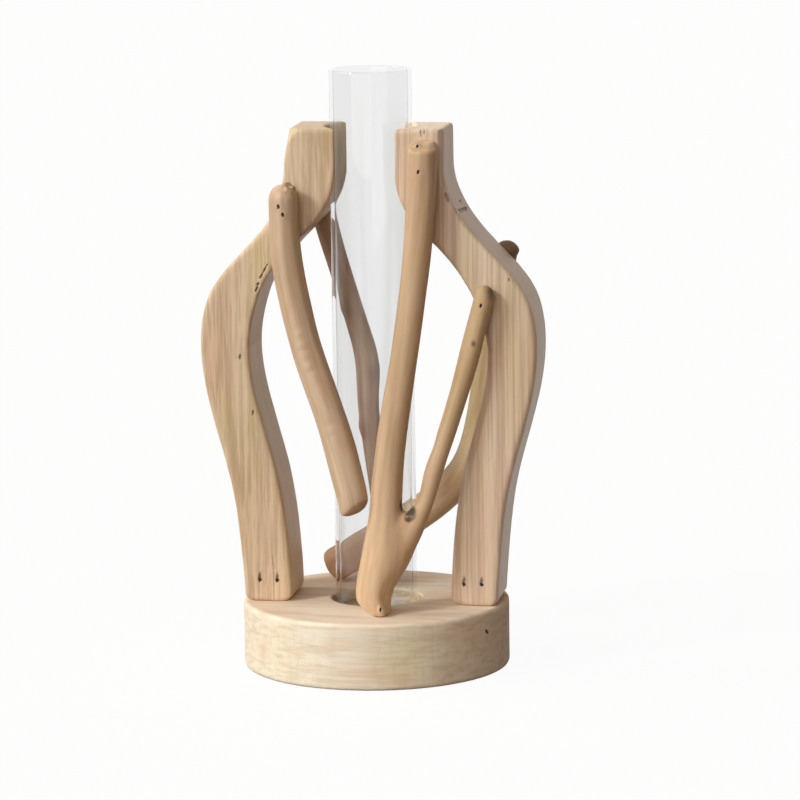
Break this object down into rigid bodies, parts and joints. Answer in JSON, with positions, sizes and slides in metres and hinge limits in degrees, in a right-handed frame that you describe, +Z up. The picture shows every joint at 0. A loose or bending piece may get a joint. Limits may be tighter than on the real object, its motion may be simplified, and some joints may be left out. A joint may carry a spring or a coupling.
{
  "type": "test tube vase",
  "caption": "Flower vase: a clear glass tube stands in a round wooden base between mirrored curved wooden boards, with natural twigs nailed on in front and behind.",
  "frame": {"origin": "middle of the underside of the round base, on the tube's axis", "axes": "+Z up along the tube; the boards stand in the XZ plane, side by side along X; the front with the forked twig looks along -Y"},
  "size_m": [0.1244, 0.098, 0.22],
  "materials": {
    "base_wood": "sawn and sanded, unfinished",
    "board_wood": "sawn and sanded, unfinished",
    "twig_wood": "bark peeled, smooth",
    "clear_glass": "clear, fire-polished rim",
    "brad_steel": "dull"
  },
  "bodies": {
    "stand": {"base_disc": "base_wood", "left_board": "board_wood", "right_board": "board_wood", "left_twig": "twig_wood", "forked_twig": "twig_wood", "back_left_twig": "twig_wood", "back_right_twig": "twig_wood", "left_board_brads": "brad_steel", "right_board_brads": "brad_steel", "left_twig_brads": "brad_steel", "forked_twig_brads": "brad_steel", "back_left_twig_brads": "brad_steel", "back_right_twig_brads": "brad_steel"},
    "tube": {"test_tube": "clear_glass"}
  },
  "joints": [
    {"name": "tube_lift", "type": "slide", "parent": "stand", "child": "tube", "axis": [0, 0, 1], "range_m": [0, 0.185]}
  ]
}
